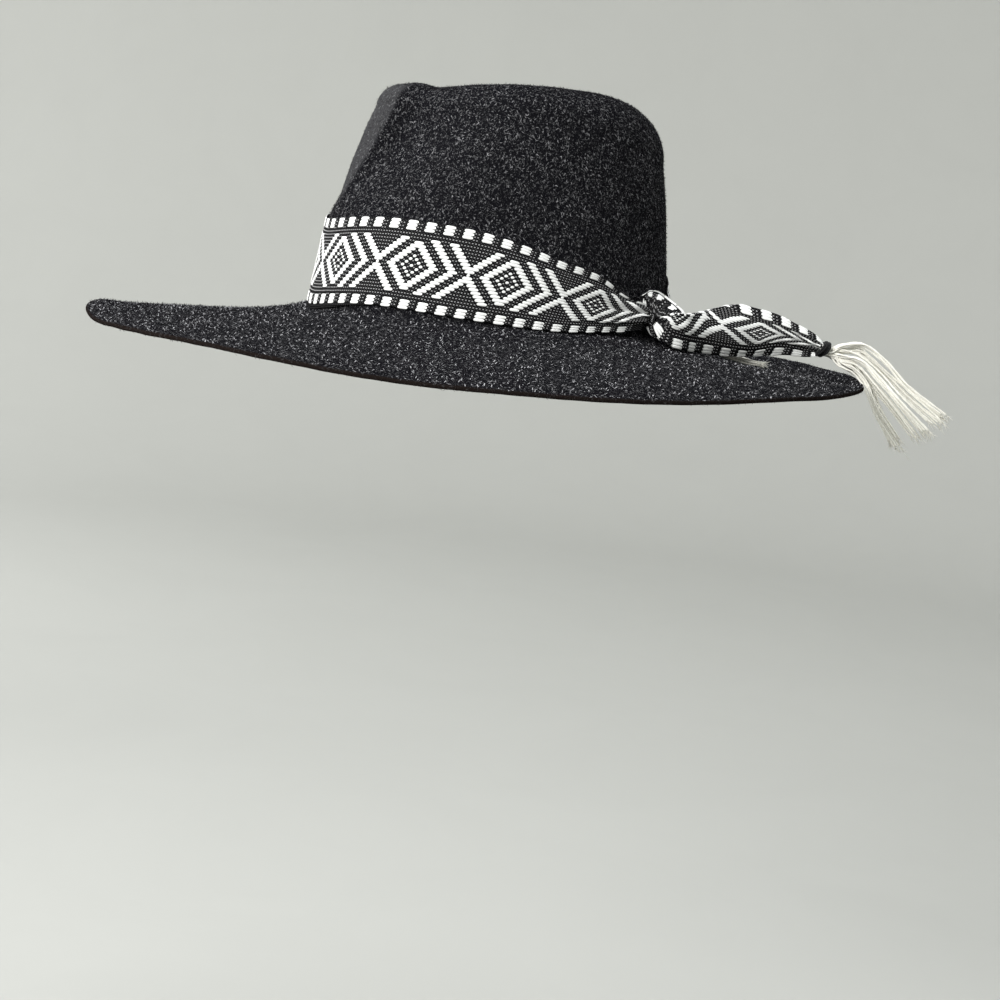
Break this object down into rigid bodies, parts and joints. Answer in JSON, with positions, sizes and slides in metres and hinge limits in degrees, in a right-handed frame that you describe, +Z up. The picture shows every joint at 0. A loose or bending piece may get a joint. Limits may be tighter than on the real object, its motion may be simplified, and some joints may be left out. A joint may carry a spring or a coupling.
{
  "type": "wide-brim felt hat",
  "caption": "Wide-brim felt hat with a front-pinched teardrop crown and a woven patterned band knotted at the rear left, its tail ending in a cotton tassel.",
  "frame": {"origin": "centre of the head opening, in the plane where the crown meets the brim at the sides", "axes": "+Z up through the crown, -Y toward the front of the hat, +X toward the wearer's left"},
  "size_m": [0.4042, 0.4574, 0.1717],
  "materials": {
    "felt": "matte wool felt, dark grey melange",
    "woven_band": "black and white woven cotton",
    "black_thread": "waxed black thread",
    "cream_cotton": "plied natural cotton"
  },
  "bodies": {
    "root": {"felt_body": "felt", "hat_band": "woven_band", "band_knot": "woven_band", "band_tail": "woven_band", "tail_whipping": "black_thread", "tassel": "cream_cotton", "back_tail": "woven_band", "back_whipping": "black_thread", "back_tassel": "cream_cotton"}
  },
  "joints": []
}
